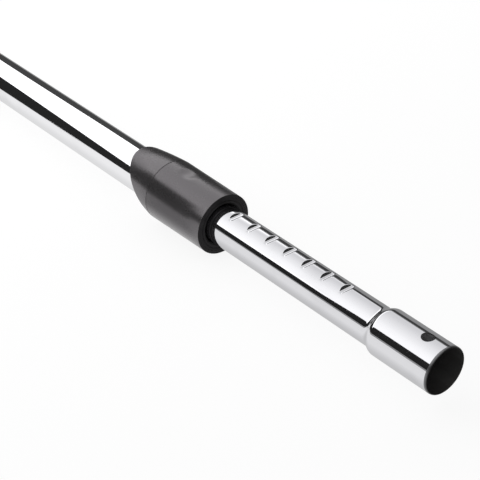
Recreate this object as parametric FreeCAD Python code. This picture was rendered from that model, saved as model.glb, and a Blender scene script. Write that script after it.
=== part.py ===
import FreeCAD, Part
import math
import os

from FreeCAD import Vector

# Telescopic vacuum wand, in millimetres.
# X runs along the wand and points out of the tool end, whose mouth is at x = 0. Z is up, through the notches.

# Tubes
inner_od = 31.2
tube_wall = 0.8
guide_space = 1.1
socket_bore = 35.2
tool_socket_depth = 57.0
tool_shoulder = 10.0
handle_socket_depth = 55.0
handle_shoulder = 8.0
shoulder_run = 0.3
shoulder_rise = 0.12
rim_run = 1.4
rim_drop = 0.5
button_hole_d = 10.0
button_hole_from_mouth = 17.6

# Notches pressed into the top of the inner tube
notch_first = 96.0
notch_pitch = 20.0
notch_depth = 1.6
notch_floor = 3.0
notch_flank = 1.1
stops_in = 8
stops_out = 10

# Locking roller on its pin, and the cam forks that lift them when the sleeve is pushed forward
roller_d = 6.4
roller_length = 12.0
pin_d = 2.8
pin_reach = 3.2
lock_clearance = 0.3
cage_clearance = 0.1
sleeve_travel = 6.0
cam_slope = 0.3
fork_thickness = 2.6
fork_wall = 2.6
fork_tube_clearance = 0.4

# Guide bush: a roller cage in front of the outer tube and a tail inside it
running_gap = 0.1
seat_gap = 0.05
cage_front = 13.0
cage_rear = 19.0
cage_lip = 3.0
bush_tail = 27.0
bush_seal_width = 4.0
lug_d = 6.0
lug_hole_clearance = 0.2
lug_flush = 0.45
bush_lug_back = 13.0

# Sliding sleeve: shell, slanted rear collar and front ring
sleeve_front = 24.4
sleeve_rear = 39.0
shell_space = 1.7
shell_wall = 2.8
shell_edge_bevel = 0.5
guide_rib_width = 4.0
guide_rib_angles = (120, 180, 240)
recess_back = 17.0
recess_radius = 45.0
recess_depth = 0.7
collar_length = 38.0
collar_drop = 3.6
collar_middle_drop = 1.1
collar_cut_back = 14.3
collar_cut_slope = 1.05
collar_foot = 2.5
collar_spigot = 6.5
collar_spigot_wall = 1.1
spring_seat_inset = 2.0
front_ring_inset = 0.3
front_ring_gap = 0.3
front_ring_bore_gap = 0.7
front_ring_bevel = 1.2

# Return spring round the outer tube, between the bush and the collar
spring_wire = 1.4
spring_turns = 5.0
spring_space = 1.0
spring_steps = 10
spring_sides = 6

# Rear slider on the inner end of the inner tube, in two halves
slider_grip = 19.5
slider_split = 0.3
slider_lug_back = 9.5
slider_running_gap = 0.08
stop_gap = 0.5
parking_reserve = 13.0

# Radii that follow from the sizes above
inner_r = inner_od / 2
inner_bore_r = inner_r - tube_wall
outer_bore_r = inner_r + guide_space
outer_r = outer_bore_r + tube_wall
socket_r = socket_bore / 2
socket_outer_r = socket_r + tube_wall
roller_r = roller_d / 2
pin_r = pin_d / 2
notch_r = roller_r + lock_clearance
cage_r = outer_r + cage_lip
shell_bore_r = cage_r + shell_space
shell_r = shell_bore_r + shell_wall
spigot_r = shell_bore_r - seat_gap
spigot_bore_r = spigot_r - collar_spigot_wall
collar_bore_r = outer_r + running_gap
bush_bore_r = inner_r + running_gap
bush_tail_r = outer_bore_r - seat_gap
slider_r = outer_bore_r - slider_running_gap
front_bore_r = inner_r + front_ring_bore_gap

# Stations along the wand that follow from the sizes above
travel_in = stops_in * notch_pitch
travel_out = stops_out * notch_pitch
roller_x = -(notch_first + travel_in)
roller_z = inner_r - notch_depth + notch_r
roller_lift = sleeve_travel * cam_slope
tool_neck_x = -(tool_socket_depth + tool_shoulder)
cage_front_x = roller_x + cage_front
cage_rear_x = roller_x - cage_rear
bush_end_x = cage_rear_x - bush_tail
bush_lug_x = cage_rear_x - bush_lug_back
sleeve_front_x = roller_x + sleeve_front
seam_x = roller_x - sleeve_rear
collar_end_x = seam_x - collar_length
collar_foot_x = seam_x - collar_foot
collar_cut_x = seam_x - collar_cut_back
spigot_front_x = seam_x + collar_spigot
spring_seat_x = seam_x + spring_seat_inset
seal_end_x = bush_end_x - bush_seal_width
slider_front_x = seal_end_x - travel_out - stop_gap
inner_end_x = slider_front_x - slider_grip
slider_lug_x = slider_front_x - slider_lug_back
handle_neck_x = inner_end_x - travel_in - parking_reserve
handle_socket_x = handle_neck_x - handle_shoulder
wand_end_x = handle_socket_x - handle_socket_depth


def turned_outline(points):
    """Solid turned about the wand's axis from a closed polygon of (x, radius) points."""
    places = [Vector(x, 0, r) for x, r in points + points[:1]]
    return Part.Face(Part.makePolygon(places)).revolve(Vector(0, 0, 0), Vector(1, 0, 0), 360)


def ring(x_low, x_high, r_in, r_out):
    """Plain ring round the wand's axis."""
    return turned_outline([(x_low, r_in), (x_high, r_in), (x_high, r_out), (x_low, r_out)])


def rod_x(x_low, x_high, radius):
    return Part.makeCylinder(radius, x_high - x_low, Vector(x_low, 0, 0), Vector(1, 0, 0))


def rod_y(x, z, radius, y_low, y_high):
    return Part.makeCylinder(radius, y_high - y_low, Vector(x, y_low, z), Vector(0, 1, 0))


def block(x_low, x_high, y_low, y_high, z_low, z_high):
    corner = Vector(x_low, y_low, z_low)
    return Part.makeBox(x_high - x_low, y_high - y_low, z_high - z_low, corner)


def shoulder(x_a, r_a, x_b, r_b):
    """Outline points of a pressed shoulder: an easy slope at each end and a steeper one between them."""
    points = [(x_a, r_a)]
    for run, rise in ((shoulder_run, shoulder_rise), (1 - shoulder_run, 1 - shoulder_rise)):
        points.append((x_a + (x_b - x_a) * run, r_a + (r_b - r_a) * rise))
    return points + [(x_b, r_b)]


def widened_rod(x_end, r_tube, x_neck, x_socket, r_socket, x_mouth, run=0.0, drop=0.0):
    """Solid rod that widens to a socket, whose mouth's outer edge may turn in."""
    rim = [(x_mouth, r_socket)]
    if run:
        x_edge = x_mouth - math.copysign(run, x_mouth - x_socket)
        rim = [(x_edge, r_socket), (x_mouth, r_socket - drop)]
    tube = [(x_mouth, 0), (x_end, 0), (x_end, r_tube)]
    return turned_outline(tube + shoulder(x_neck, r_tube, x_socket, r_socket) + rim)


def prism(corners, y_half):
    """Prism across the wand from a closed polygon of (x, z) corners."""
    places = [Vector(x, -y_half, z) for x, z in corners + corners[:1]]
    return Part.Face(Part.makePolygon(places)).extrude(Vector(0, 2 * y_half, 0))


def notch_bars(wall):
    """One transverse bar for each notch: a flat floor between two flanks, moved outward by the given wall."""
    z_floor = inner_r - notch_depth - wall
    half_floor = notch_floor / 2 + wall * (math.hypot(1, notch_flank) - notch_flank)
    half_top = half_floor + notch_flank * (shell_bore_r - z_floor)
    bars = []
    for stop in range(stops_in + stops_out + 1):
        x = -(notch_first + stop * notch_pitch)
        corners = [(x - half_floor, z_floor), (x + half_floor, z_floor)]
        corners += [(x + half_top, shell_bore_r), (x - half_top, shell_bore_r)]
        bars.append(prism(corners, inner_r))
    return Part.makeCompound(bars)


def lug_bars(x, radius, y_low, y_high):
    """A pair of round bars on the wand's two sides, for snap lugs and their holes."""
    return [rod_y(x, 0, radius, y_low, y_high), rod_y(x, 0, radius, -y_high, -y_low)]


def make_inner_tube():
    stations = (tool_neck_x, -tool_socket_depth)
    outside = widened_rod(inner_end_x, inner_r, *stations, socket_outer_r, 0, rim_run, rim_drop)
    inside = widened_rod(inner_end_x, inner_bore_r, *stations, socket_r, 0)
    # Pressed notches keep the sheet's thickness, so the bore has a matching bump under each one.
    tube = outside.cut(notch_bars(0)).cut(inside.cut(notch_bars(tube_wall)))
    hole = Part.makeCylinder(button_hole_d / 2, socket_outer_r, Vector(-button_hole_from_mouth, 0, 0))
    lug_holes = lug_bars(slider_lug_x, lug_d / 2 + lug_hole_clearance, 0, inner_r)
    return tube.cut(Part.makeCompound([hole] + lug_holes))


def make_outer_tube():
    stations = (handle_neck_x, handle_socket_x)
    outside = widened_rod(cage_rear_x, outer_r, *stations, socket_outer_r, wand_end_x, rim_run, rim_drop)
    inside = widened_rod(cage_rear_x, outer_bore_r, *stations, socket_r, wand_end_x)
    lug_holes = lug_bars(bush_lug_x, lug_d / 2 + lug_hole_clearance, 0, outer_r)
    return outside.cut(inside).cut(Part.makeCompound(lug_holes))


fork_inner_y = roller_length / 2 + lock_clearance + cage_clearance
fork_outer_y = fork_inner_y + fork_thickness
fork_front_x = roller_x + pin_r + lock_clearance + fork_wall
fork_rear_x = roller_x - sleeve_travel - pin_r - fork_wall
fork_low_z = math.sqrt(inner_r ** 2 - fork_inner_y ** 2) + fork_tube_clearance


def make_guide_bush():
    body = turned_outline([
        (cage_front_x, bush_bore_r),
        (cage_front_x, cage_r),
        (cage_rear_x, cage_r),
        (cage_rear_x, bush_tail_r),
        (bush_end_x, bush_tail_r),
        (bush_end_x, bush_bore_r),
    ])
    # The roller drops through a pocket, with a slot on each side for the pin and the sleeve's cam forks.
    slot_rear_x = fork_rear_x - lock_clearance
    slot_front_x = fork_front_x + sleeve_travel + lock_clearance
    slot_inner_y = fork_inner_y - lock_clearance
    slot_outer_y = roller_length / 2 + pin_reach + lock_clearance + cage_clearance
    slot_floor_z = fork_low_z - lock_clearance
    pocket_half = roller_r + cage_clearance
    pocket = (roller_x - pocket_half, roller_x + pocket_half)
    cuts = [block(*pocket, -slot_outer_y, slot_outer_y, slot_floor_z, cage_r)]
    for y_low in (slot_inner_y, -slot_outer_y):
        y_high = y_low + slot_outer_y - slot_inner_y
        cuts.append(block(slot_rear_x, slot_front_x, y_low, y_high, slot_floor_z, cage_r))
    lugs = lug_bars(bush_lug_x, lug_d / 2, bush_tail_r - guide_space / 2, outer_r - lug_flush)
    return body.cut(Part.makeCompound(cuts)).fuse(lugs)


def make_bush_seal():
    """Felt ring at the end of the bush's tail that keeps the suction in."""
    return ring(seal_end_x, bush_end_x, inner_r + running_gap, outer_bore_r - seat_gap)


def make_locking_roller():
    half = roller_length / 2
    bore = rod_y(roller_x, roller_z, pin_r + seat_gap, -half, half)
    return rod_y(roller_x, roller_z, roller_r, -half, half).cut(bore)


def make_roller_pin():
    half = roller_length / 2 + pin_reach
    return rod_y(roller_x, roller_z, pin_r, -half, half)


def make_fork_slot(y_reach):
    """Slot for the roller's pin: a slope as long as the sleeve's travel, then level to the open rear."""
    slot_r = pin_r + lock_clearance
    lifted_x = roller_x - sleeve_travel
    lifted_z = roller_z + roller_lift
    slope_length = math.hypot(sleeve_travel, roller_lift)
    slope = block(roller_x - slope_length, roller_x, -y_reach, y_reach, roller_z - slot_r, roller_z + slot_r)
    slope.rotate(Vector(roller_x, 0, roller_z), Vector(0, 1, 0), math.degrees(math.atan(cam_slope)))
    level = block(fork_rear_x, lifted_x, -y_reach, y_reach, lifted_z - slot_r, lifted_z + slot_r)
    rest_end = rod_y(roller_x, roller_z, slot_r, -y_reach, y_reach)
    lifted_end = rod_y(lifted_x, lifted_z, slot_r, -y_reach, y_reach)
    return slope.fuse([level, rest_end, lifted_end])


def make_cam_forks():
    """Two plates under the shell's crown that carry the ends of the roller's pin."""
    forks = []
    for y_low in (fork_inner_y, -fork_outer_y):
        y_high = y_low + fork_thickness
        forks.append(block(fork_rear_x, fork_front_x, y_low, y_high, fork_low_z, shell_bore_r))
    return forks


def make_guide_ribs():
    """Ribs in the lower half of the shell that run on the cage."""
    rib_rear_x = cage_rear_x + lock_clearance
    rib_front_x = cage_front_x - sleeve_travel
    rib_ring = ring(rib_rear_x, rib_front_x, cage_r + running_gap, (shell_bore_r + shell_r) / 2)
    ribs = []
    for angle in guide_rib_angles:
        half = guide_rib_width / 2
        bar = block(rib_rear_x, rib_front_x, -half, half, 0, shell_r)
        bar.rotate(Vector(0, 0, 0), Vector(1, 0, 0), angle)
        ribs.append(rib_ring.common(bar))
    return ribs


def make_sleeve_shell():
    body = turned_outline([
        (sleeve_front_x, shell_bore_r),
        (sleeve_front_x, shell_r - shell_edge_bevel),
        (sleeve_front_x - shell_edge_bevel, shell_r),
        (seam_x, shell_r),
        (seam_x, shell_bore_r),
    ])
    shell = body.fuse(make_cam_forks() + make_guide_ribs())
    # Room for the lifted roller and its pin, and a shallow thumb recess in the crown.
    pin_slot = make_fork_slot(roller_length / 2 + pin_reach + lock_clearance)
    room = roller_r + lock_clearance
    roller_room = block(
        fork_rear_x - room,
        roller_x + room,
        -roller_length / 2 - lock_clearance,
        roller_length / 2 + lock_clearance,
        roller_z,
        roller_z + roller_lift + room,
    )
    recess_z = shell_r - recess_depth + recess_radius
    recess = rod_y(roller_x - recess_back, recess_z, recess_radius, -shell_r, shell_r)
    return shell.cut(pin_slot).cut(roller_room).cut(recess)


def make_rear_collar():
    body = turned_outline([
        (seam_x, collar_bore_r),
        (seam_x, shell_r),
        (seam_x - collar_length / 2, shell_r - collar_middle_drop),
        (collar_end_x, shell_r - collar_drop),
        (collar_end_x, collar_bore_r),
    ])
    # The rear end slants: a long hood over the top of the tube, and a short foot below.
    bend_z = (collar_cut_x - collar_foot_x) / collar_cut_slope
    hood_x = collar_cut_x - collar_cut_slope * shell_r
    behind_x = hood_x - collar_length
    slant = [(collar_foot_x, -shell_r), (collar_foot_x, bend_z), (hood_x, shell_r)]
    cut_away = prism(slant + [(behind_x, shell_r), (behind_x, -shell_r)], shell_r)
    spigot = ring(seam_x, spigot_front_x, collar_bore_r, spigot_r)
    spring_room = rod_x(spring_seat_x, spigot_front_x, spigot_bore_r)
    return body.cut(cut_away).fuse(spigot).cut(spring_room).removeSplitter()


def make_front_ring():
    face_x = sleeve_front_x - front_ring_inset
    back_x = cage_front_x + front_ring_gap
    return turned_outline([
        (face_x, spigot_r),
        (back_x, spigot_r),
        (back_x, front_bore_r),
        (face_x - front_ring_bevel, front_bore_r),
        (face_x, front_bore_r + front_ring_bevel),
    ])


def make_return_spring():
    """Open coil that just fits between the bush and the collar, lofted through many-sided wire sections."""
    wire_r = spring_wire / 2
    mean_r = outer_r + spring_space + wire_r
    rise = cage_rear_x - spring_seat_x - spring_wire
    section_count = round(spring_turns * spring_steps)
    sections = []
    for step in range(section_count + 1):
        x = spring_seat_x + wire_r + rise * step / section_count
        turn = 2 * math.pi * step / spring_steps
        corners = []
        for side in range(spring_sides + 1):
            angle = 2 * math.pi * side / spring_sides
            r = mean_r + wire_r * math.sin(angle)
            corners.append(Vector(x + wire_r * math.cos(angle), r * math.cos(turn), r * math.sin(turn)))
        sections.append(Part.makePolygon(corners))
    return Part.makeLoft(sections, True, True)


def make_slider_half(side):
    """Half of the slider, with a lug in the tube's side hole; side is 0 for the left one and 1 for the right one."""
    body = ring(inner_end_x, slider_front_x, inner_r + seat_gap, slider_r)
    reach = (slider_split / 2, slider_r)
    y_low, y_high = (reach, (-reach[1], -reach[0]))[side]
    half = body.common(block(inner_end_x, slider_front_x, y_low, y_high, -slider_r, slider_r))
    lugs = lug_bars(slider_lug_x, lug_d / 2, inner_bore_r + seat_gap, inner_r + guide_space / 2)
    return half.fuse(lugs[side])


nodes = {
    "inner_tube": make_inner_tube(),
    "outer_tube": make_outer_tube(),
    "guide_bush": make_guide_bush(),
    "bush_seal": make_bush_seal(),
    "locking_roller": make_locking_roller(),
    "roller_pin": make_roller_pin(),
    "sleeve_shell": make_sleeve_shell(),
    "rear_collar": make_rear_collar(),
    "front_ring": make_front_ring(),
    "return_spring": make_return_spring(),
    "slider_left": make_slider_half(0),
    "slider_right": make_slider_half(1),
}

os.makedirs("parts", exist_ok=True)
for name, shape in nodes.items():
    shape.exportStep(f"parts/{name}.step")
    print(f"{name}: {len(shape.Solids)} solid, {shape.Volume / 1000:.2f} cm3, valid {shape.isValid()}")
print(f"wand length {-wand_end_x:.1f}, sleeve diameter {2 * shell_r:.1f}, outer tube {2 * outer_r:.1f}")
print(f"slide {-travel_in:.0f} to {travel_out:.0f}, roller lift {roller_lift:.2f}")
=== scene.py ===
# %% [markdown]
# # A telescopic vacuum wand
# The wand is a bright chrome tube that slides in a wider one. A black sleeve on the joint hides the lock:
# pushed forward, it lifts a steel roller out of a row of notches. This lesson dresses the measured model:
# it loads the solids as a fixed frame, remakes the pieces that the eye rests on as fine smooth meshes,
# gives each surface its finish, and sets up the studio.

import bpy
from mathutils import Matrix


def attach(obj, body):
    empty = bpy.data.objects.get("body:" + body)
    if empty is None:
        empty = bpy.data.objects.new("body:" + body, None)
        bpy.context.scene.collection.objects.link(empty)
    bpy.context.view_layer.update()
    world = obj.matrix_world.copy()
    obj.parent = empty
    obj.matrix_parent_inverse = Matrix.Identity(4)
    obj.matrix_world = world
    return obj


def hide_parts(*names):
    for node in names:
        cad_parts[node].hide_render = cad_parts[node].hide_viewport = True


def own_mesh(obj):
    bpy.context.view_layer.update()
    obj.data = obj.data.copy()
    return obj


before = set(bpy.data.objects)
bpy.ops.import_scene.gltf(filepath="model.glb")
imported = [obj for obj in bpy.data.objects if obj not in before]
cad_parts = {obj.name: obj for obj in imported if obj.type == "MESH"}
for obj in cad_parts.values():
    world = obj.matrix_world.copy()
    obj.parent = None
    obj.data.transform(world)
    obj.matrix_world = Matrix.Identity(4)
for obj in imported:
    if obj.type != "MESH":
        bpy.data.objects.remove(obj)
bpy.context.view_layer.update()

# %% [markdown]
# ## Sizes
# All sizes are in millimetres, as on a drawing, and become metres only when a mesh is made. X runs along
# the wand and out of the tool end, whose mouth is at 0, and Z is up through the notches. They are the sizes
# of the solids, so the fine meshes lie where the solids are. Two follow the photograph more closely: the
# socket's shoulder is 3 mm nearer the mouth, and the collar's hood is 1.6 mm longer.

# %% Sizes of the wand, in millimetres
import math

import bmesh
import bpy
import numpy as np
from mathutils import Matrix, Vector

MM = 0.001
INNER_R, OUTER_R, SOCKET_R, WALL = 15.6, 17.5, 18.4, 0.8
INNER_END, NECK, SOCKET = -526.0, -64.0, -54.0
OUTER_FRONT, HANDLE_NECK, HANDLE_SOCKET, WAND_END = -275.0, -699.0, -707.0, -762.0
FIRST_NOTCH, NOTCH_PITCH, NOTCH_COUNT = -96.0, 20.0, 19
NOTCHES = [FIRST_NOTCH - NOTCH_PITCH * stop for stop in range(NOTCH_COUNT)]
SLEEVE_FRONT, SEAM = -231.6, -295.0
print("notches:", len(NOTCHES), "from", NOTCHES[0], "to", NOTCHES[-1])

# %% [markdown]
# ## Turned meshes
# Every piece here is turned or drawn, so each mesh is a grid: a closed outline along the wand, repeated at
# many angles round it. A Spin or Screw modifier would do for a plain tube. A grid of our own is better
# here, because notches, a thumb recess and a slanted rim can be pressed into its points before the faces
# are made, and because the points can be crowded where the form is fine. Angle 0 is straight up.

# %% Angles, outlines and grids
CROWN_HALF, CROWN_STEP, SIDE_STEP, EVEN_STEP = 33, 1.5, 6, 2.5
crown = np.arange(-CROWN_HALF, CROWN_HALF, CROWN_STEP)
sides = np.arange(CROWN_HALF, 360 - CROWN_HALF, SIDE_STEP)
CROWN_ANGLES = np.radians(np.concatenate([crown, sides]))
EVEN_ANGLES = np.radians(np.arange(0, 360, EVEN_STEP))
CORNER_STEPS = 5
CORNER_POINTS = CORNER_STEPS + 2


def rounded(corners, support=0.3):
    """Closed outline from (x, r, radius) corners: each becomes an arc with a support point on each side."""
    outline = []
    for i, (x, r, radius) in enumerate(corners):
        corner = np.array([x, r])
        before = np.array(corners[i - 1][:2]) - corner
        after = np.array(corners[(i + 1) % len(corners)][:2]) - corner
        before, after = before / np.hypot(*before), after / np.hypot(*after)
        half = math.acos(np.clip(before @ after, -1, 1)) / 2
        reach = radius / math.tan(half)
        toward = (before + after) / np.hypot(*(before + after))
        centre = corner + toward * radius / math.sin(half)
        first, last = corner + before * reach - centre, corner + after * reach - centre
        outline.append(corner + before * (reach + support))
        for share in np.linspace(0, 1, CORNER_STEPS):
            spoke = first * (1 - share) + last * share
            outline.append(centre + spoke / np.hypot(*spoke) * radius)
        outline.append(corner + after * (reach + support))
    return np.array(outline)


def turn(outline, angles):
    """Grid of points, [station, angle, xyz], from an outline turned through the angles."""
    x, r = np.asarray(outline, float).T
    along = np.repeat(x[:, None], len(angles), 1)
    return np.stack([along, r[:, None] * np.sin(angles), r[:, None] * np.cos(angles)], -1)


def grid_faces(grid):
    """Four-cornered faces of a grid that closes both ways, as an array [station, angle, corner]."""
    index = np.arange(grid.shape[0] * grid.shape[1]).reshape(grid.shape[:2])
    beside = np.roll(index, -1, axis=1)
    return np.stack([index, beside, np.roll(beside, -1, axis=0), np.roll(index, -1, axis=0)], axis=-1)


print("angles:", len(CROWN_ANGLES), "crowded at the crown,", len(EVEN_ANGLES), "even")

# %% [markdown]
# ## Forms that are not turned
# The plates and ribs inside the sleeve, the slot for the roller's pin and the holes for the snap lugs
# aren't turned. Each is a prism: a flat outline drawn out across the wand. A Boolean modifier joins a prism
# to a turned mesh or cuts it out, as a toolmaker adds a rib or drills a hole. All of them are inside the
# wand, so the long thin faces that a Boolean may leave never reach a surface that is seen.

# %% Prisms, and joining or cutting with them
def prism(outline, y_low, y_high, angle=0.0):
    """Points and faces of an (x, z) outline drawn out from y_low to y_high, then turned round the wand."""
    count = len(outline)
    points = np.array([(x, y, z) for y in (y_low, y_high) for x, z in outline], float)
    cosine, sine = math.cos(angle), math.sin(angle)
    points = points @ np.array([(1, 0, 0), (0, cosine, sine), (0, -sine, cosine)])
    sides = [(i, (i + 1) % count, (i + 1) % count + count, i + count) for i in range(count)]
    return points, sides + [tuple(range(count)), tuple(range(count, 2 * count))]


def box(x_low, x_high, z_low, z_high):
    """Outline of a plain block."""
    return [(x_low, z_low), (x_high, z_low), (x_high, z_high), (x_low, z_high)]


def disc(x, z, radius, first=0.0, last=360.0, steps=33):
    """Points of an arc in the plane of X and Z; the angles are in degrees, from X towards Z."""
    angles = np.radians(np.linspace(first, last, steps))
    return [(x + radius * math.cos(a), z + radius * math.sin(a)) for a in angles]


def combine(mesh, operation, prisms):
    """The mesh with prisms joined to it or cut from it."""
    points, faces = [], []
    for prism_points, prism_faces in prisms:
        faces += [[len(points) + corner for corner in face] for face in prism_faces]
        points += (prism_points * MM).tolist()
    tool_mesh = bpy.data.meshes.new("tool")
    tool_mesh.from_pydata(points, [], faces)
    edit = bmesh.new()
    edit.from_mesh(tool_mesh)
    bmesh.ops.recalc_face_normals(edit, faces=edit.faces[:])
    edit.to_mesh(tool_mesh)
    edit.free()
    work, tool = bpy.data.objects.new("work", mesh), bpy.data.objects.new("tool", tool_mesh)
    for thing in (work, tool):
        bpy.context.scene.collection.objects.link(thing)
    change = work.modifiers.new(operation, "BOOLEAN")
    change.operation, change.object, change.solver = operation, tool, "EXACT"
    made = bpy.data.meshes.new_from_object(work.evaluated_get(bpy.context.evaluated_depsgraph_get()))
    for thing in (work, tool):
        bpy.data.objects.remove(thing)
    bpy.data.meshes.remove(tool_mesh)
    print(operation, "with", len(prisms), "prisms:", len(mesh.polygons), "to", len(made.polygons), "faces")
    return made


print("points of a round hole:", len(disc(0.0, 0.0, 1.0)) - 1)

# %% [markdown]
# ## Pressed forms
# A notch is pressed in by a bar across the tube, so it lowers the crown and leaves each point's sideways
# place alone. A plain minimum of the two heights would leave a knife edge, and real sheet bends. A soft
# minimum rounds the edge by a chosen amount, as the press does.

# %% Soft minimum, shoulder curve and the mesh maker
SHARP_DEGREES = 38


def soft_min(a, b, ease):
    """The lower of two heights, with the edge between them rounded over about the given ease."""
    share = np.clip(0.5 + 0.5 * (b - a) / ease, 0, 1)
    return b * (1 - share) + a * share - ease * share * (1 - share)


def shoulder(x_a, r_a, x_b, r_b, count=15):
    """Outline of a pressed shoulder that leaves both tubes smoothly."""
    share = np.linspace(0, 1, count)
    rise = share ** 3 * (share * (share * 6 - 15) + 10)
    return np.stack([x_a + (x_b - x_a) * share, r_a + (r_b - r_a) * rise], -1)


def make_piece(name, grid, faces, finishes, body, node, face_finish=None, joined=(), cut=()):
    """Mesh piece that rides on a body and stands for a solid; face_finish numbers each face's finish."""
    mesh = bpy.data.meshes.new(name)
    mesh.from_pydata((grid.reshape(-1, 3) * MM).tolist(), [], [list(map(int, face)) for face in faces])
    for finish in finishes:
        mesh.materials.append(finish)
    if face_finish is not None:
        mesh.polygons.foreach_set("material_index", np.asarray(face_finish, dtype=np.int32))
    edit = bmesh.new()
    edit.from_mesh(mesh)
    bmesh.ops.delete(edit, geom=[v for v in edit.verts if not v.link_faces], context="VERTS")
    bmesh.ops.recalc_face_normals(edit, faces=edit.faces[:])
    edit.to_mesh(mesh)
    edit.free()
    for operation, prisms in (("UNION", joined), ("DIFFERENCE", cut)):
        if prisms:
            mesh = combine(mesh, operation, prisms)
    mesh.name = name
    mesh.shade_smooth()
    mesh.set_sharp_from_angle(angle=math.radians(SHARP_DEGREES))
    piece = bpy.data.objects.new(name, mesh)
    bpy.context.scene.collection.objects.link(piece)
    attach(piece, body)
    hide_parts(node)
    print(name, "faces:", len(mesh.polygons))
    return piece


print("soft minimum of 1.0 and 1.1, eased over 0.4:", round(float(soft_min(1.0, 1.1, 0.4)), 3))

# %% [markdown]
# ## Shader maths
# Finishes are made of nodes. Written node by node they are hard to read, so one small class wraps a node's
# output and lets plain arithmetic add the Math nodes. Every other node comes from the one method that takes
# its type, its settings and its sockets.

# %% A wrapped node output
class Wire:
    """A node's output; arithmetic on it adds Math nodes."""

    def __init__(self, tree, socket=None):
        self.tree = tree
        self.socket = socket

    def node(self, kind, settings=None, sockets=None, output=0):
        made = self.tree.nodes.new(kind)
        for key, value in (settings or {}).items():
            setattr(made, key, value)
        for key, value in (sockets or {}).items():
            if isinstance(value, Wire):
                self.tree.links.new(value.socket, made.inputs[key])
            else:
                made.inputs[key].default_value = value
        return Wire(self.tree, made.outputs[output])

    def math(self, operation, *values):
        return self.node("ShaderNodeMath", {"operation": operation}, dict(enumerate(values)))

    def __add__(self, other):
        return self.math("ADD", self, other)

    def __sub__(self, other):
        return self.math("SUBTRACT", self, other)

    def __rsub__(self, other):
        return self.math("SUBTRACT", other, self)

    def __mul__(self, other):
        return self.math("MULTIPLY", self, other)

    __radd__, __rmul__ = __add__, __mul__

    def part(self, axis):
        return self.node("ShaderNodeSeparateXYZ", None, {0: self}, axis)

    def from_axis(self):
        """Distance of this place from the wand's axis."""
        across = self.node("ShaderNodeVectorMath", {"operation": "MULTIPLY"}, {0: self, 1: (0.0, 1.0, 1.0)})
        return self.node("ShaderNodeVectorMath", {"operation": "LENGTH"}, {0: across}, "Value")

    def ramp(self, low, high):
        """0 below low, 1 above high, smooth between them; low may be the larger."""
        sockets = {"Value": self, "From Min": low, "From Max": high}
        return self.node("ShaderNodeMapRange", {"interpolation_type": "SMOOTHSTEP"}, sockets)

    def noise(self, stretch, detail=3.0, roughness=0.5):
        """Cloudy values over this place, with a size for each axis given as cells in a metre."""
        scaled = self.node("ShaderNodeVectorMath", {"operation": "MULTIPLY"}, {0: self, 1: stretch})
        sockets = {"Vector": scaled, "Scale": 1.0, "Detail": detail, "Roughness": roughness}
        return self.node("ShaderNodeTexNoise", None, sockets)

    def mix(self, a, b):
        """Colour a where this is 0 and colour b where it is 1."""
        return self.node("ShaderNodeMix", {"data_type": "RGBA"}, {0: self, 6: a, 7: b}, 2)

    def bump(self, strength, depth):
        return self.node("ShaderNodeBump", None, {"Strength": strength, "Distance": depth, "Height": self})


def new_finish(name, **constants):
    """Material, its place on the object, and a function that links wires to the shader's sockets."""
    material = bpy.data.materials.new(name)
    material.use_nodes = True
    tree = material.node_tree
    shader = tree.nodes["Principled BSDF"]
    for key, value in constants.items():
        shader.inputs[key.replace("_", " ")].default_value = value

    def link(**wires):
        for key, wire in wires.items():
            tree.links.new(wire.socket, shader.inputs[key.replace("_", " ")])
        print(name, "nodes:", len(tree.nodes))
        return material

    return Wire(tree).node("ShaderNodeTexCoord", output="Object"), link


print("a wire can:", [name for name in vars(Wire) if not name.startswith("_")])

# %% [markdown]
# ## Chrome plate
# The tubes are drawn steel, polished and plated. The plate is a mirror, so nearly all its look is what it
# reflects. What makes it a real surface is slight: hairlines along the tube from sliding, a few cloudy
# smudges, and dull grime in the floors of the notches. Image textures could hold these. Noise stretched
# along X is lighter and has no seams.

# %% Chrome for the two tubes
HAIRLINE_GRAIN, SMUDGE_GRAIN = (7.0, 1900.0, 1900.0), (22.0, 30.0, 30.0)
DUST_GRAIN, WAVE_GRAIN, WAVE_DEPTH = (900.0, 900.0, 900.0), (35.0, 60.0, 60.0), 0.00002
GRIME_FROM_R, GRIME_FULL_R, GRIME = INNER_R - 0.15, INNER_R - 1.3, (0.30, 0.295, 0.29, 1.0)
POLISH, SMUDGED_SHARE = 0.03, 0.93


def chrome_plate(name, tint, hairline):
    place, link = new_finish(name, Metallic=1.0)
    below_crown = place.from_axis().ramp(GRIME_FROM_R * MM, GRIME_FULL_R * MM)
    lines = place.noise(HAIRLINE_GRAIN, 2.0).ramp(0.52, 0.75)
    smudge = place.noise(SMUDGE_GRAIN, 4.0, 0.6).ramp(0.5, 0.72)
    dust = place.noise(DUST_GRAIN, 2.0).ramp(0.62, 0.75)
    grime = below_crown * (0.2 + 0.3 * dust)
    smudged = tuple(SMUDGED_SHARE * c for c in tint[:3]) + (1.0,)
    colour = grime.mix(smudge.mix(tint, smudged), GRIME)
    rough = POLISH + hairline * lines + 0.03 * smudge + 0.16 * grime
    waves = place.noise(WAVE_GRAIN, 1.0)
    return link(Base_Color=colour, Roughness=rough, Normal=waves.bump(0.25, WAVE_DEPTH))


inner_chrome = chrome_plate("chrome_inner_plate", tint=(0.68, 0.68, 0.70, 1.0), hairline=0.05)
outer_chrome = chrome_plate("chrome_outer_plate", tint=(0.80, 0.80, 0.815, 1.0), hairline=0.03)
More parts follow.
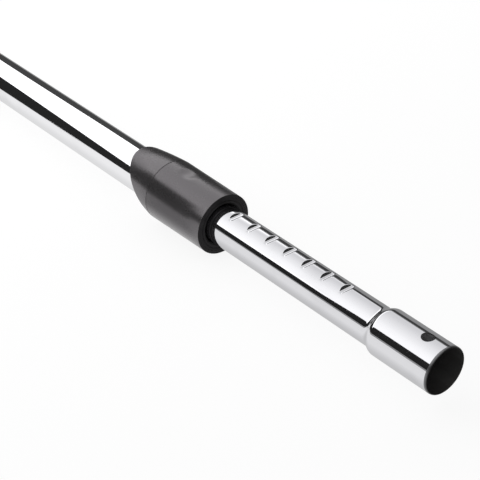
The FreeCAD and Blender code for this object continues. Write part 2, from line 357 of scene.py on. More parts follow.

# %% [markdown]
# The plate hardly reaches the inside of a tube. Behind the tool mouth the steel is a dull dark grey with rub
# lines, a painted shade for the dark inside of the tube, and deeper in it is painted brighter, a painted
# light for what comes in through the button hole. It is another finish on the same mesh, given to the faces
# of the bore.

# %% Steel of the bores, with painted shade and painted light
PAINTED_SHADE_TO, PAINTED_LIGHT_FROM, PAINTED_LIGHT_STEEL = -24.0, -29.0, (0.6, 0.6, 0.61, 1.0)
RUB_LINES, SPECK_GRAIN, SPECK_DEPTH = (14.0, 160.0, 160.0), (700.0, 700.0, 700.0), 0.00004


def bore_painted_shade_and_light():
    place, link = new_finish("bore_painted_shade_and_light", Metallic=0.35)
    rub = place.noise(RUB_LINES, 4.0, 0.6)
    speck = place.noise(SPECK_GRAIN, 2.0).ramp(0.55, 0.7)
    # painted shade: a dull dark grey behind the tool mouth stands in for the shade inside the tube
    painted_shade_grey = rub.mix((0.02, 0.019, 0.018, 1.0), (0.055, 0.053, 0.051, 1.0))
    # painted light: the steel deeper in is painted brighter for the light that comes in through the button
    # hole
    colour = place.part("X").ramp(PAINTED_SHADE_TO * MM, PAINTED_LIGHT_FROM * MM).mix(painted_shade_grey, PAINTED_LIGHT_STEEL)
    rough = 0.45 + 0.2 * rub + 0.1 * speck
    return link(Base_Color=colour, Roughness=rough, Normal=speck.bump(0.3, SPECK_DEPTH))


painted_bore_steel = bore_painted_shade_and_light()

# %% [markdown]
# Tools and hose handles are pushed in and out past the two rims, and scuff the rolled edge. Its colour turns
# from grey outside to nearly black inside, a painted shade where the edge turns into the bore.

# %% Scuffed rims of the two mouths, with painted shade
SCUFF_GRAIN, SCUFF_DEPTH, RIM_SHADE_R = (500.0, 500.0, 500.0), 0.00003, SOCKET_R - 0.45


def scuffed_rim_painted_shade():
    place, link = new_finish("scuffed_rim_painted_shade", Metallic=0.8)
    scuff = place.noise(SCUFF_GRAIN, 3.0)
    # painted shade: the colour darkens from grey to nearly black towards the inside of the rolled edge
    wear_and_rim_shade = place.from_axis().ramp(SOCKET_R * MM, RIM_SHADE_R * MM)
    colour = wear_and_rim_shade.mix((0.17, 0.17, 0.175, 1.0), (0.04, 0.04, 0.04, 1.0))
    return link(Base_Color=colour, Roughness=0.25 + 0.2 * scuff, Normal=scuff.bump(0.1, SCUFF_DEPTH))


rim_steel_painted_shade = scuffed_rim_painted_shade()

# %% [markdown]
# ## Moulded black plastic
# The sleeve is moulded with a fine matt texture, so that the hand doesn't slip. Fine noise as a bump gives
# the texture, slower noise changes the roughness where hands have rubbed it, and the two ends of the shell
# are a little greyer, because edges wear first.

# %% Black plastics of the sleeve
TEXTURE_GRAIN, RUB_GRAIN = (1500.0, 1500.0, 1500.0), (28.0, 40.0, 40.0)
REFLECTED_TINT, TEXTURE_DEPTH = (1.0, 0.94, 0.99, 1.0), 0.00006
FRONT_WEAR, SEAM_WEAR = (2.2, 0.3), (1.2, 0.2)


def matt_plastic(name, deep, wear_and_rim_shade, rough, grain, ior):
    place, link = new_finish(name, IOR=ior, Specular_Tint=REFLECTED_TINT)
    texture = place.noise(TEXTURE_GRAIN, 3.0, 0.6)
    rubbed = place.noise(RUB_GRAIN, 3.0, 0.55).ramp(0.42, 0.7)
    along = place.part("X")
    front_edge = along.ramp((SLEEVE_FRONT - FRONT_WEAR[0]) * MM, (SLEEVE_FRONT - FRONT_WEAR[1]) * MM)
    before_seam = along.ramp((SEAM + SEAM_WEAR[0]) * MM, (SEAM + SEAM_WEAR[1]) * MM)
    behind_seam = along.ramp((SEAM - SEAM_WEAR[0]) * MM, (SEAM - SEAM_WEAR[1]) * MM)
    seam_edge = before_seam * behind_seam
    wear = 0.35 * rubbed + 0.5 * front_edge * texture + 0.35 * seam_edge * texture
    roughness = rough - 0.07 * rubbed + 0.1 * texture
    bumps = texture.bump(grain, TEXTURE_DEPTH)
    return link(Base_Color=wear.mix(deep, wear_and_rim_shade), Roughness=roughness, Normal=bumps)


sleeve_plastic = matt_plastic(
    "sleeve_matt_plastic", deep=(0.032, 0.0305, 0.031, 1.0), wear_and_rim_shade=(0.046, 0.044, 0.0445, 1.0),
    rough=0.24, grain=0.10, ior=2.0,
)
ring_plastic = matt_plastic(
    "ring_dark_plastic", deep=(0.005, 0.005, 0.005, 1.0), wear_and_rim_shade=(0.011, 0.011, 0.011, 1.0),
    rough=0.5, grain=0.3, ior=1.3,
)

# %% [markdown]
# ## Inner tube
# The inner tube carries the row of notches and, at the tool end, a widened socket with a round hole for the
# tool's sprung button. The outline goes along the outside, round the mouth's rolled edge and back along the
# bore, so the sheet has its real thickness. Stations are crowded at each notch and round the hole.

# %% Outline of the inner tube
NOTCH_FLOOR, NOTCH_HALF, NOTCH_FLANK = INNER_R - 1.6, 1.5, 1.1
HOLE_X, HOLE_R = -17.6, 5.0
LIP_RUN, LIP_DROP, LIP_SUPPORT, LIP_DEGREES, LIP_POINTS = 1.9, 0.72, 2.7, (9, 90), 10
LUG_INNER_X, LUG_OUTER_X, LUG_HOLE_R, LUG_SUPPORT = -516.0, -288.0, 3.2, 5
HOLE_REACH, HOLE_STATIONS = 6.5, 27
OUTSIDE_STEPS = (0.6, 1.1, 1.5, 1.9, 2.3, 2.7, 3.0, 3.3, 3.6, 4.0, 4.8)
INSIDE_STEPS = (1.0, 1.8, 2.6, 3.4, 4.6)
hole_stations = HOLE_X + np.linspace(-HOLE_REACH, HOLE_REACH, HOLE_STATIONS)


def tube_side(radius_drop, offsets):
    """Outline of one face of the sheet, from the inner end to the mouth, lowered by the given drop."""
    near = [x + sign * step for x in NOTCHES for step in offsets for sign in (-1, 1)]
    beside_lug = [LUG_INNER_X - LUG_SUPPORT, LUG_INNER_X + LUG_SUPPORT]
    ends = [INNER_END, INNER_END + 1, NECK - 3, NECK - 0.8]
    plain = sorted(set(np.round(ends + beside_lug + NOTCHES + near, 4)))
    flared = shoulder(NECK, INNER_R, SOCKET, SOCKET_R)
    socket = np.concatenate([[SOCKET + 0.8, SOCKET + 4], hole_stations, [-LIP_SUPPORT, -LIP_RUN]])
    x = np.concatenate([plain, flared[:, 0], socket])
    r = np.concatenate([np.full(len(plain), INNER_R), flared[:, 1], np.full(len(socket), SOCKET_R)])
    return np.stack([x, r - radius_drop], -1)


outside = tube_side(0.0, OUTSIDE_STEPS)
inside = tube_side(WALL, INSIDE_STEPS)
lip = np.radians(np.linspace(*LIP_DEGREES, LIP_POINTS))
rolled = np.stack([LIP_RUN * np.sin(lip), LIP_DROP * (1 - np.cos(lip))], -1)
rim = np.array([-LIP_RUN, SOCKET_R]) + rolled * (1, -1)
tube_outline = np.concatenate([outside, rim, inside[::-1]])
print("stations outside:", len(outside), "inside:", len(inside))

# %% [markdown]
# Each notch lowers the crown to a flat floor between two flanks. The bore gets the same form, lowered by
# the sheet's thickness, because pressing doesn't thin the sheet.

# %% Press the notches
FLANK_EASE, EDGE_EASE, INSIDE_WIDER = 0.4, 0.45, 0.3


def press_notches(grid, floor, half_width):
    """Lowers the crown of a turned grid at each notch."""
    away = np.min(np.abs(grid[:, :1, 0] - np.array(NOTCHES)), axis=1)
    past = away - half_width
    flank = floor + 0.5 * (past + np.sqrt(past ** 2 + FLANK_EASE ** 2)) / NOTCH_FLANK
    top = grid[..., 2] > 0
    pressed = soft_min(grid[..., 2], flank[:, None], EDGE_EASE)
    return np.where(top & (grid[:, :1, 0] < NECK - 5), pressed, grid[..., 2])


tube_grid = turn(tube_outline, CROWN_ANGLES)
outside_rows = np.arange(len(outside))
inside_rows = len(tube_outline) - 1 - np.arange(len(inside))
tube_grid[outside_rows, :, 2] = press_notches(tube_grid[outside_rows], NOTCH_FLOOR, NOTCH_HALF)
inside_half = NOTCH_HALF + INSIDE_WIDER
tube_grid[inside_rows, :, 2] = press_notches(tube_grid[inside_rows], NOTCH_FLOOR - WALL, inside_half)
print("lowest notch floor:", round(float(tube_grid[outside_rows][:, 0:1, 2].min()), 2))

# %% [markdown]
# The button hole could be a Boolean cut. On a mirror surface that leaves long thin faces that spoil the
# reflection, so the grid itself is opened: faces wholly inside the circle go, the points left inside move
# out to the circle, and a wall joins the two sides of the sheet.

# %% Open the button hole
def open_hole(grid, faces, outer_rows, inner_rows):
    """Opens the round hole in both sides of the sheet. Returns the kept faces' mask and the wall's faces."""
    x, y = grid[outer_rows, :, 0], grid[outer_rows, :, 1]
    upper = grid[outer_rows, :, 2] > 0
    within = (np.hypot(x - HOLE_X, y) < HOLE_R) & upper
    beside = np.roll(within, -1, axis=1)
    gone = within[:-1] & within[1:] & beside[:-1] & beside[1:]
    keep = np.ones(faces.shape[:2], bool)
    keep[outer_rows[:-1]] &= ~gone
    keep[inner_rows[1:]] &= ~gone
    per_row = grid.shape[1]
    for k, j in zip(*np.nonzero(within)):
        reach = np.array([x[k, j] - HOLE_X, y[k, j]])
        size = np.hypot(*reach)
        if size > HOLE_R / 2:
            reach = reach / size * HOLE_R
            for row, radius in ((outer_rows[k], SOCKET_R), (inner_rows[k], SOCKET_R - WALL)):
                grid[row, j] = (HOLE_X + reach[0], reach[1], math.sqrt(radius ** 2 - reach[1] ** 2))
    wall = []
    for k, j in zip(*np.nonzero(gone)):
        following, last = (j + 1) % per_row, (j - 1) % per_row
        sides = (
            ((k, j), (k, following), k > 0 and gone[k - 1, j]),
            ((k + 1, j), (k + 1, following), k + 1 < len(gone) and gone[k + 1, j]),
            ((k, j), (k + 1, j), gone[k, last]),
            ((k, following), (k + 1, following), gone[k, following]),
        )
        for (k_a, j_a), (k_b, j_b), shared in sides:
            if not shared:
                a, b = outer_rows[k_a] * per_row + j_a, outer_rows[k_b] * per_row + j_b
                c, d = inner_rows[k_b] * per_row + j_b, inner_rows[k_a] * per_row + j_a
                wall.append((a, b, c, d))
    return keep, np.array(wall)


hole_from = int(np.argmin(np.abs(outside[:, 0] - hole_stations[0])))
hole_from_inside = int(np.argmin(np.abs(inside[:, 0] - hole_stations[0])))
hole_rows = hole_from + np.arange(len(hole_stations))
hole_rows_inside = inside_rows[hole_from_inside + np.arange(len(hole_stations))]
tube_faces = grid_faces(tube_grid)
kept, hole_wall = open_hole(tube_grid, tube_faces, hole_rows, hole_rows_inside)
print("faces taken out for the hole:", int((~kept).sum()), "faces in its wall:", len(hole_wall))

# %% [markdown]
# The faces of a tube take one of three finishes: plate outside, the scuffed rim with its painted shade round
# the mouth, and steel with painted shade and painted light in the bore and in the wall of the hole. A round
# hole through both sides takes the slider's lugs.

# %% Inner tube
PLATE, BORE, RIM = 0, 1, 2


def tube_finishes(faces, outside_count, rim_count):
    """Number of the finish of each face, for a tube's outline that runs outside, rim, bore."""
    numbers = np.full(faces.shape[:2], PLATE)
    numbers[outside_count - 1:outside_count + rim_count - 1] = RIM
    numbers[outside_count + rim_count - 1:-1] = BORE
    return numbers


tube_finish = tube_finishes(tube_faces, len(outside), len(rim))[kept]
make_piece(
    "inner_tube_chrome", tube_grid, np.concatenate([tube_faces[kept], hole_wall]),
    [inner_chrome, painted_bore_steel, rim_steel_painted_shade], "inner", "inner_tube",
    np.concatenate([tube_finish, np.full(len(hole_wall), BORE)]),
    cut=[prism(disc(LUG_INNER_X, 0.0, LUG_HOLE_R)[:-1], -OUTER_R, OUTER_R)],
)

# %% [markdown]
# ## Outer tube
# The outer tube is plain, apart from the socket for the hose handle at its rear end, outside the
# photograph. A turned outline with the same soft shoulder and rolled edge is all that it needs. Two round
# holes near the front take the bush's snap lugs. They are turned by a few degrees, so that none of their
# points falls on a row of the grid.

# %% Outer tube
MID_TUBE, HOLE_TURN = -500.0, 3.0
beside_lug = [LUG_OUTER_X + LUG_SUPPORT, LUG_OUTER_X - LUG_SUPPORT]
plain_x = [OUTER_FRONT, OUTER_FRONT - 1] + beside_lug + [MID_TUBE, HANDLE_NECK + 2]
outer_side = np.concatenate([
    [(x, OUTER_R) for x in plain_x],
    shoulder(HANDLE_NECK, OUTER_R, HANDLE_SOCKET, SOCKET_R),
    [(HANDLE_SOCKET - 1, SOCKET_R), (WAND_END + LIP_SUPPORT, SOCKET_R), (WAND_END + LIP_RUN, SOCKET_R)],
])
handle_rim = np.array([WAND_END + LIP_RUN, SOCKET_R]) - rolled
bore_side = (outer_side - np.array([0.0, WALL]))[::-1]
outer_grid = turn(np.concatenate([outer_side, handle_rim, bore_side]), EVEN_ANGLES)
outer_faces = grid_faces(outer_grid)
outer_finish = tube_finishes(outer_faces, len(outer_side), len(handle_rim))
lug_hole = disc(LUG_OUTER_X, 0.0, LUG_HOLE_R, HOLE_TURN, 360.0 + HOLE_TURN)[:-1]
make_piece(
    "outer_tube_chrome", outer_grid, outer_faces.reshape(-1, 4), [outer_chrome, painted_bore_steel, rim_steel_painted_shade],
    "outer", "outer_tube", outer_finish.ravel(),
    cut=[prism(lug_hole, -SOCKET_R, SOCKET_R)],
)

# %% [markdown]
# ## Sleeve shell
# The shell is the part that the hand pushes. It widens slightly to the rear, its edges are rounded as
# moulded edges are, and a shallow recess in the crown takes the thumb. The recess is pressed into the grid
# as the notches were.

# %% Sleeve shell with its thumb recess
SHELL_BORE, SHELL_FRONT_R, SHELL_REAR_R = 22.2, 24.65, 25.3
RECESS_X, RECESS_CURVE, RECESS_DEPTH = -273.0, 45.0, 0.7
RECESS_REACH, RECESS_STATIONS, RECESS_EASE = 13, 45, 0.5
shell_corners = rounded([
    (SLEEVE_FRONT, SHELL_BORE, 0.2),
    (SLEEVE_FRONT, SHELL_FRONT_R, 0.4),
    (SEAM, SHELL_REAR_R, 0.35),
    (SEAM, SHELL_BORE, 0.2),
])
split = 2 * CORNER_POINTS
fine_x = np.linspace(RECESS_X + RECESS_REACH, RECESS_X - RECESS_REACH, RECESS_STATIONS)
fine_r = SHELL_FRONT_R + (SHELL_REAR_R - SHELL_FRONT_R) * (SLEEVE_FRONT - fine_x) / (SLEEVE_FRONT - SEAM)
shell_outline = np.concatenate([shell_corners[:split], np.stack([fine_x, fine_r], -1), shell_corners[split:]])
shell_grid = turn(shell_outline, CROWN_ANGLES)
fine_rows = split + np.arange(len(fine_x))
dish = fine_r.mean() - RECESS_DEPTH + (fine_x - RECESS_X) ** 2 / (2 * RECESS_CURVE)
shell_grid[fine_rows, :, 2] = soft_min(shell_grid[fine_rows, :, 2], dish[:, None], RECESS_EASE)
print("recess depth:", RECESS_DEPTH, "wall under it:", round(float(dish.min()) - SHELL_BORE, 2))

# %% [markdown]
# Inside, two plates carry the ends of the roller's pin in sloping slots: as the sleeve is pushed forward,
# the slope lifts the roller out of its notch. Three ribs run on the bush and keep the sleeve centred. A
# pocket in the crown gives the lifted roller room.

# %% Forks, ribs and pocket inside the shell
ROLLER_X, ROLLER_Z, ROLLER_R, ROLLER_HALF = -256.0, 17.5, 3.2, 6.0
SLOT_R, SLEEVE_TRAVEL, LIFT, CLEAR, OVERCUT = 1.7, 6.0, 1.8, 0.3, 0.5
FORK_X, FORK_Y, FORK_LOW = (-266.0, -251.7), (6.4, 9.0), 14.63
RIB_X, RIB_Z, RIB_HALF, RIB_ANGLES = (-274.7, -249.0), (20.6, 23.6), 2.0, (120, 180, 240)
tilt = math.atan2(LIFT, SLEEVE_TRAVEL)
up = SLOT_R * np.array([math.sin(tilt), math.cos(tilt)])
lifted = np.array([ROLLER_X - SLEEVE_TRAVEL, ROLLER_Z + LIFT])
slot_rear, tilt_degrees = FORK_X[0] - OVERCUT, math.degrees(tilt)
slot_outline = [(slot_rear, lifted[1] - SLOT_R), (lifted[0] - 0.25, lifted[1] - SLOT_R)]
slot_outline += disc(ROLLER_X, ROLLER_Z, SLOT_R, -90 - tilt_degrees, 90 - tilt_degrees, 11)
slot_outline += [tuple(lifted + up), (lifted[0], lifted[1] + SLOT_R), (slot_rear, lifted[1] + SLOT_R)]
fork = box(*FORK_X, FORK_LOW, SHELL_BORE)
forks = [prism(fork, *FORK_Y), prism(fork, -FORK_Y[1], -FORK_Y[0])]
ribs = [prism(box(*RIB_X, *RIB_Z), -RIB_HALF, RIB_HALF, math.radians(angle)) for angle in RIB_ANGLES]
room = ROLLER_R + CLEAR
pocket = box(FORK_X[0] - room, ROLLER_X + room, ROLLER_Z, ROLLER_Z + LIFT + room)
slot_half, pocket_half = FORK_Y[1] + OVERCUT, ROLLER_HALF + CLEAR
hollows = [prism(slot_outline, -slot_half, slot_half), prism(pocket, -pocket_half, pocket_half)]
print("slope of the slots, in degrees:", round(tilt_degrees, 1))

# %% [markdown]
# In the photograph the flat front face of the shell is as dark as the ring beside it, so its faces take the
# ring's finish.
# That darker finish is a painted shade on the face that turns away from the overhead light.

# %% Sleeve shell
FRONT_FACE_DEPTH = 0.12
shell_faces = grid_faces(shell_grid)
painted_shade_rows = np.nonzero(shell_outline[:, 0] > SLEEVE_FRONT - FRONT_FACE_DEPTH)[0][:-1]
shell_finish = np.zeros(shell_faces.shape[:2], int)
# painted shade: the shell's front face takes the ring's darker finish
shell_finish[painted_shade_rows] = 1
make_piece(
    "sleeve_shell_moulding", shell_grid, shell_faces.reshape(-1, 4), [sleeve_plastic, ring_plastic],
    "sleeve", "sleeve_shell", shell_finish.ravel(), joined=forks + ribs, cut=hollows,
)

# %% [markdown]
# ## Rear collar
# Behind the seam, a second moulding closes the sleeve over the tube. Its rear end slants, with a long hood
# over the top of the tube and a short foot below. The outline is worked out anew at every angle, with the
# rear end where the slanted plane cuts it, so the rim is smooth and evenly rounded.

# %% Rear collar with its slanted end
COLLAR_BORE, SPIGOT_R, SPIGOT_BORE, SPIGOT_FRONT, SPRING_SEAT = 17.6, 22.15, 21.05, -288.5, -293.0
CUT_X, CUT_SLOPE, FOOT_X, FOOT_EASE = SEAM - 15.9, 1.05, SEAM - 2.5, 3.0
COLLAR_TAPER, COLLAR_CROWN = 0.0586, 0.0012
FIRST_END, END_ROUNDS, CROWNED_STATIONS = SEAM - 20, 12, 16


def collar_radius(x):
    """Crowned taper from the seam to the end of the hood."""
    back = SEAM - x
    return SHELL_REAR_R - COLLAR_TAPER * back - COLLAR_CROWN * back ** 2


def slanted_end(angle, radius):
    """Where the slanted plane, or the foot, ends a line at this angle and radius."""
    slant = CUT_X - CUT_SLOPE * radius * math.cos(angle)
    return float(soft_min(np.array(slant), np.array(FOOT_X), FOOT_EASE))


collar_columns = []
for angle in EVEN_ANGLES:
    end = FIRST_END
    for _ in range(END_ROUNDS):
        end = slanted_end(angle, collar_radius(end))
    end_bore = slanted_end(angle, COLLAR_BORE)
    corners = rounded([
        (SPIGOT_FRONT, SPIGOT_R, 0.2),
        (SEAM, SPIGOT_R, 0.1),
        (SEAM - 0.4, SHELL_REAR_R, 0.3),
        (end, float(collar_radius(end)), 0.5),
        (end_bore, COLLAR_BORE, 0.2),
        (SPRING_SEAT, COLLAR_BORE, 0.1),
        (SPRING_SEAT, SPIGOT_BORE, 0.1),
        (SPIGOT_FRONT, SPIGOT_BORE, 0.2),
    ], support=0.15)
    split = 3 * CORNER_POINTS
    (x_a, r_a), (x_b, r_b) = corners[split - 1], corners[split]
    blend = np.linspace(0, 1, CROWNED_STATIONS)[1:-1]
    x = np.linspace(x_a, x_b, CROWNED_STATIONS)[1:-1]
    chord = collar_radius(x_a) * (1 - blend) + collar_radius(x_b) * blend
    crowned = np.stack([x, r_a * (1 - blend) + r_b * blend + collar_radius(x) - chord], -1)
    outline = np.concatenate([corners[:split], crowned, corners[split:]])
    collar_columns.append(turn(outline, np.array([angle]))[:, 0])
collar_grid = np.stack(collar_columns, axis=1)
make_piece(
    "rear_collar_moulding", collar_grid, grid_faces(collar_grid).reshape(-1, 4), [sleeve_plastic],
    "sleeve", "rear_collar",
)

# %% [markdown]
# ## Front ring
# A darker ring closes the sleeve's front round the inner tube. It sits a little behind the shell's edge,
# and a turned groove in its face shows as a faint line.

# %% Front ring
RING_FACE, RING_BACK, RING_BORE, RING_CHAMFER = SLEEVE_FRONT - 0.3, -242.7, 16.3, 1.4
GROOVE_IN, GROOVE_OUT, GROOVE_FLANK, GROOVE_FLOOR = 19.3, 20.3, 0.2, RING_FACE - 0.4
ring_outline = rounded([
    (RING_BACK, RING_BORE, 0.2),
    (RING_FACE - RING_CHAMFER, RING_BORE, 0.3),
    (RING_FACE, RING_BORE + RING_CHAMFER, 0.4),
    (RING_FACE, GROOVE_IN, 0.1),
    (GROOVE_FLOOR, GROOVE_IN + GROOVE_FLANK, 0.1),
    (GROOVE_FLOOR, GROOVE_OUT - GROOVE_FLANK, 0.1),
    (RING_FACE, GROOVE_OUT, 0.1),
    (RING_FACE, SPIGOT_R, 0.25),
    (RING_BACK, SPIGOT_R, 0.2),
], support=0.05)
ring_grid = turn(ring_outline, EVEN_ANGLES)
make_piece(
    "front_ring_moulding", ring_grid, grid_faces(ring_grid).reshape(-1, 4), [ring_plastic],
    "sleeve", "front_ring",
)

# %% [markdown]
# ## Inner works
# The bush, the slider and the roller are hidden in the sleeve and the tubes. Their solids have the right
# form already, so they stay as they are and only get their finishes: pale moulded acetal, grey felt, and
# plated steel with a drawn grain.

# %% Finishes of the inner works
FLOW_DEPTH, DRAWN_DEPTH, FIBRE_DEPTH = 0.00003, 0.00002, 0.0002


def pale_acetal():
    place, link = new_finish("natural_acetal", IOR=1.48)
    cloud = place.noise((60.0, 90.0, 90.0), 3.0)
    flow = place.noise((25.0, 600.0, 600.0), 2.0).ramp(0.5, 0.7)
    colour = cloud.mix((0.70, 0.685, 0.64, 1.0), (0.80, 0.79, 0.75, 1.0))
    rough = 0.36 + 0.12 * cloud + 0.06 * flow
    return link(Base_Color=colour, Roughness=rough, Normal=flow.bump(0.15, FLOW_DEPTH))


def plated_steel():
    place, link = new_finish("plated_steel", Metallic=1.0)
    drawn = place.noise((900.0, 300.0, 900.0), 3.0)
    stain = place.noise((140.0, 140.0, 140.0), 3.0).ramp(0.5, 0.7)
    colour = stain.mix((0.58, 0.58, 0.60, 1.0), (0.44, 0.43, 0.42, 1.0))
    rough = 0.22 + 0.12 * drawn + 0.1 * stain
    return link(Base_Color=colour, Roughness=rough, Normal=drawn.bump(0.1, DRAWN_DEPTH))


def wool_felt():
    place, link = new_finish("wool_felt", Sheen_Weight=0.4)
    fibre = place.noise((2500.0, 900.0, 900.0), 4.0, 0.7)
    colour = fibre.mix((0.22, 0.215, 0.20, 1.0), (0.42, 0.41, 0.38, 1.0))
    return link(Base_Color=colour, Roughness=0.85 + 0.1 * fibre, Normal=fibre.bump(0.6, FIBRE_DEPTH))


acetal, steel, felt = pale_acetal(), plated_steel(), wool_felt()
works = {"guide_bush": acetal, "slider_left": acetal, "slider_right": acetal, "bush_seal": felt}
works.update({"locking_roller": steel, "roller_pin": steel})
for node, finish in works.items():
    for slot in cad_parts[node].material_slots:
        slot.material = finish
    print(node, "finish:", finish.name)

# %% [markdown]
# ## Return spring
# The spring pushes the sleeve back. It is round wire, wound open in the middle and closed at both ends so
# that it sits flat. A curve with a bevel would draw it too. Here it is a mesh, built at one length, with mesh
# data of its own. As the sleeve moves, the real coil shortens: its front end stays at the bush while the rest
# closes up.

# %% Coil of round wire
WIRE_R, COIL_R, COIL_TURNS = 0.7, 19.2, 5.0
CLOSED_PITCH, CLOSED_TURNS, OPENING_TURNS, COIL_STEPS, WIRE_SIDES = 1.5, 0.9, 0.4, 240, 12
turns = np.linspace(0, COIL_TURNS, COIL_STEPS + 1)
from_end = np.minimum(turns, COIL_TURNS - turns)
opening = np.clip(from_end - CLOSED_TURNS, 0, OPENING_TURNS) / OPENING_TURNS
rise = np.concatenate([[0], np.cumsum((opening[1:] + opening[:-1]) / 2) * COIL_TURNS / COIL_STEPS])
spring_length = OUTER_FRONT - SPRING_SEAT
spare = spring_length - 2 * WIRE_R - CLOSED_PITCH * COIL_TURNS
coil_x = SPRING_SEAT + WIRE_R + CLOSED_PITCH * turns + spare * rise / rise[-1]
around = np.radians(np.arange(0, 360, 360 / WIRE_SIDES))
wire_r = COIL_R + WIRE_R * np.sin(around)[None]
angle = 2 * math.pi * turns[:, None]
coil = [coil_x[:, None] + WIRE_R * np.cos(around)[None], wire_r * np.cos(angle), wire_r * np.sin(angle)]
coil_grid = np.stack(np.broadcast_arrays(*coil), -1)
coil_ends = [list(range(WIRE_SIDES)), list(range(COIL_STEPS * WIRE_SIDES, (COIL_STEPS + 1) * WIRE_SIDES))]
coil_faces = grid_faces(coil_grid)[:-1].reshape(-1, 4).tolist() + coil_ends
spring = make_piece(
    "return_spring_coil", coil_grid, coil_faces, [steel], "outer", "return_spring",
)
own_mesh(spring)

# %% [markdown]
# ## Studio
# Chrome shows the room, so the studio is part of its look. The floor is a pale light table: it glows a
# little, so shadows stay faint. Round the wand stand cards that are seen only in reflections, as a studio
# sets black and white card beside shiny things. From here on, lengths are in metres.

# %% Floor, and the maker of cards
FLOOR_Z, FLOOR_REACH, FLOOR_GREY, FLOOR_GLOW = -0.0257, 30.0, 0.19, 0.875
CARD_GREY, BLACK_GLOW = 0.01, 0.015
NEAR_Y, SLEEVE_CARD_Y, FAR_Y, OVERHEAD_Z = -0.2, -0.06, 0.06, 0.9


def even_finish(name, glow, grey):
    """Finish of one grey all over that also gives off white light."""
    colours = {"Base_Color": (grey, grey, grey, 1.0), "Emission_Color": (1.0, 1.0, 1.0, 1.0)}
    _, link = new_finish(name, Roughness=1.0, Specular_IOR_Level=0.0, Emission_Strength=glow, **colours)
    return link()


def stage_plane(name, corners, finish, only_reflected=True):
    """Flat stage piece, which the camera sees or which shows only in reflections."""
    mesh = bpy.data.meshes.new(name)
    mesh.from_pydata(corners, [], [tuple(range(len(corners)))])
    mesh.materials.append(finish)
    plane = bpy.data.objects.new(name, mesh)
    bpy.context.scene.collection.objects.link(plane)
    if only_reflected:
        plane.visible_camera = plane.visible_diffuse = plane.visible_shadow = False
    print("stage:", name)
    return plane


def level(outline, z):
    """Corners of a level card from its (x, y) outline."""
    return [(x, y, z) for x, y in outline]


def upright_card(name, outline, y, glow):
    """Dark card that stands along the wand, from its (x, z) outline."""
    stage_plane(name, [(x, y, z) for x, z in outline], even_finish(name, glow, CARD_GREY))


def level_card(name, outline, z, glow):
    """Dark card that lies or hangs level, from its (x, y) outline."""
    stage_plane(name, level(outline, z), even_finish(name, glow, CARD_GREY))


floor_corners = level(box(-FLOOR_REACH, FLOOR_REACH, -FLOOR_REACH, FLOOR_REACH), FLOOR_Z)
stage_plane("floor", floor_corners, even_finish("floor", FLOOR_GLOW, FLOOR_GREY), only_reflected=False)

# %% [markdown]
# A black card on the near side gives each tube its crisp dark line. A plain rectangle would do for one tube
# of one width. Here the outline steps and slopes, because the tubes and the socket differ in width and each
# reflects its own stretch of the card. A small card close to the sleeve gives the sleeve its soft dark
# band, and a black strip on the floor carries the outer tube's line down towards the handle end.

# %% Black cards on the near side
STRIP_Z = FLOOR_Z + 0.0005
near_card = [
    (-1.60, FLOOR_Z), (-0.66, FLOOR_Z), (-0.53, -0.012), (-0.47, -0.004), (-0.40, 0.022), (-0.26, 0.022),
    (-0.23, 0.028), (0.45, 0.028), (0.45, 0.142), (-0.23, 0.142), (-0.26, 0.107), (-0.40, 0.107),
    (-0.51, 0.113), (-0.54, 0.117), (-0.80, 0.192), (-0.88, 0.21), (-1.60, 0.21),
]
upright_card("near_black_card", near_card, NEAR_Y, BLACK_GLOW)
sleeve_card = [
    (-0.274, 0.001), (-0.2745, 0.0045), (-0.279, 0.038), (-0.294, 0.064), (-0.36, 0.068), (-0.395, 0.093),
    (-0.422, 0.102), (-0.392, 0.065), (-0.375, 0.038), (-0.356, 0.006), (-0.33, 0.002),
]
upright_card("sleeve_black_card", sleeve_card, SLEEVE_CARD_Y, BLACK_GLOW)
tube_strip = [(-1.3, NEAR_Y), (-0.56, NEAR_Y), (-0.66, -0.115), (-0.72, -0.085), (-1.3, -0.075)]
level_card("tube_floor_strip", tube_strip, STRIP_Z, BLACK_GLOW)

# %% [markdown]
# The wand keeps light from the table under it, and the chrome shows that as a grey that deepens towards its
# lower edge. In the photograph the table itself stays white. So the soft shade lies on a card just above
# the floor that only reflections see: under the inner tube, more faintly under the outer one, and in a
# patch on the near side of the sleeve.

# %% Shade under the wand
SHADE_Z = FLOOR_Z + 0.0002
TABLE_LIGHT, TABLE_SHADE = (1.03, 1.03, 1.03, 1.0), (0.48, 0.48, 0.485, 1.0)
OUTER_SHARE, PATCH_SHARE, PATCH_SLANT = 0.6, 0.85, 0.85
GLOW_ONLY = {"Base_Color": (0.0, 0.0, 0.0, 1.0), "Specular_IOR_Level": 0.0, "Emission_Strength": 1.0}


def floor_shade():
    place, link = new_finish("shade", **GLOW_ONLY)
    along, across = place.part("X"), place.part("Y")
    below_tubes = along.ramp(-0.26, -0.235) + OUTER_SHARE * along.ramp(-0.31, -0.34)
    under = place.math("ABSOLUTE", across).ramp(0.060, -0.020) * below_tubes
    slant = along - PATCH_SLANT * (across + 0.025)
    patch = slant.ramp(-0.320, -0.304) * slant.ramp(-0.240, -0.252) * across.ramp(-0.022, -0.050)
    return link(Emission_Color=(under + PATCH_SHARE * patch).mix(TABLE_LIGHT, TABLE_SHADE))


stage_plane("shade_card", level(box(-1.3, 0.45, NEAR_Y, FAR_Y), SHADE_Z), floor_shade())

# %% [markdown]
# On the far side a dark card draws the thin dark line near each tube's upper edge, and a grey card fills
# the space between it and the floor. Level cards hang at the height of the light: dark ones beyond both its
# ends, and a white one over the front that brightens the other sides of the wand.

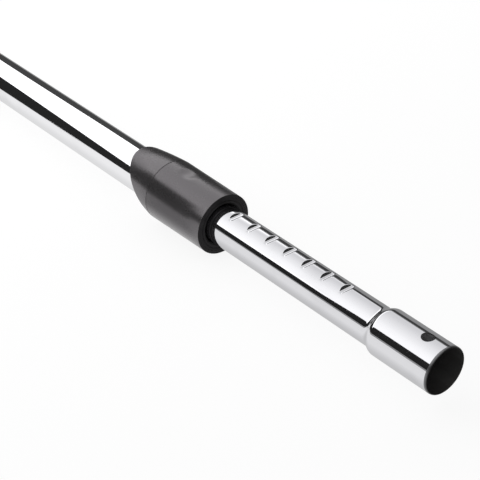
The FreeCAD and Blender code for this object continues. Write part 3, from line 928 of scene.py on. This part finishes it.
# %% Cards on the far side and overhead
FAR_DARK_GLOW, FAR_GREY_GLOW, OVERHEAD_DARK_GLOW, WHITE_GLOW = 0.06, 0.33, 0.03, 1.2
LOWER_EDGE_POINTS = 6
far_card = [
    (-1.2, 0.006), (-0.31, 0.006), (-0.29, 0.018), (-0.15, 0.018), (-0.14, 0.032), (0.45, 0.032),
    (0.45, 0.052), (-0.14, 0.052), (-0.16, 0.046), (-0.29, 0.046), (-0.31, 0.066), (-0.46, 0.066),
    (-0.60, 0.08), (-1.2, 0.08),
]
upright_card("far_dark_card", far_card, FAR_Y, FAR_DARK_GLOW)
far_grey = [(-1.2, FLOOR_Z), (0.45, FLOOR_Z)] + far_card[:LOWER_EDGE_POINTS][::-1]
upright_card("far_grey_card", far_grey, FAR_Y, FAR_GREY_GLOW)
level_card("rear_dark_card", box(-4.0, -2.08, -3.0, 1.5), OVERHEAD_Z, OVERHEAD_DARK_GLOW)
level_card("front_dark_card", box(-0.15, 1.8, 0.4, 2.0), OVERHEAD_Z, OVERHEAD_DARK_GLOW)
white_card = [(-0.52, -2.6), (2.4, -2.6), (2.4, 0.38), (-0.17, 0.38), (-0.17, 1.3), (-0.52, 1.3)]
level_card("front_white_card", white_card, OVERHEAD_Z, WHITE_GLOW)

# %% [markdown]
# ## Light and camera
# The light is a wide glowing panel overhead, because chrome shows the outline of any lamp. It reaches
# further towards the handle end, where the camera sees its reflection. It is brighter at the rear and fades
# to the far side, which gives the inner tube its soft change from white to grey.

# %% Overhead light
PANEL_LIGHT, PANEL_REAR, PANEL_FAR = (1.43, 1.43, 1.43, 1.0), (1.75, 1.75, 1.75, 1.0), (0.9, 0.9, 0.91, 1.0)


def panel_glow():
    place, link = new_finish("panel_glow", **GLOW_ONLY)
    along = place.part("X")
    far_side = place.part("Y").ramp(-0.9, 0.9) * along.ramp(-1.35, -1.0)
    rear = along.ramp(-1.28, -1.40).mix(PANEL_LIGHT, PANEL_REAR)
    return link(Emission_Color=far_side.mix(rear, PANEL_FAR))


panel_corners = level(box(-2.06, -0.52, -2.6, 1.3), OVERHEAD_Z)
panel = stage_plane("overhead_panel", panel_corners, panel_glow(), only_reflected=False)
panel.visible_camera = False

# %% [markdown]
# The surroundings are an even grey. The camera is where the photograph was taken from, found by fitting the
# tubes' edges, the notches and the mouth. Its three directions are those of the picture: to the right, down
# and ahead.

# %% Surroundings and camera
ROOM_GREY, ROOM_STRENGTH = (0.5, 0.5, 0.5, 1.0), 0.7
CAMERA_AT, LENS, SENSOR = (0.55207, -0.64186, 0.65410), 120.0, 36.0
RIGHT, DOWN = (0.64034, 0.76807, 0.00569), (0.42594, -0.34892, -0.83476)
AHEAD = (-0.63917, 0.53695, -0.55059)
NEAREST, FURTHEST = 0.05, 50.0

world = bpy.data.worlds.new("pale_room")
world.use_nodes = True
background = world.node_tree.nodes["Background"]
background.inputs["Color"].default_value = ROOM_GREY
background.inputs["Strength"].default_value = ROOM_STRENGTH
bpy.context.scene.world = world
bpy.context.scene.view_settings.view_transform = "Standard"

camera_data = bpy.data.cameras.new("photo_camera")
camera_data.lens, camera_data.sensor_width = LENS, SENSOR
camera_data.clip_start, camera_data.clip_end = NEAREST, FURTHEST
camera = bpy.data.objects.new("photo_camera", camera_data)
axes = Matrix((RIGHT, [-c for c in DOWN], [-c for c in AHEAD])).transposed()
camera.matrix_world = Matrix.Translation(Vector(CAMERA_AT)) @ axes.to_4x4()
bpy.context.scene.collection.objects.link(camera)
bpy.context.scene.camera = camera
print("camera at", [round(c, 3) for c in camera.location])
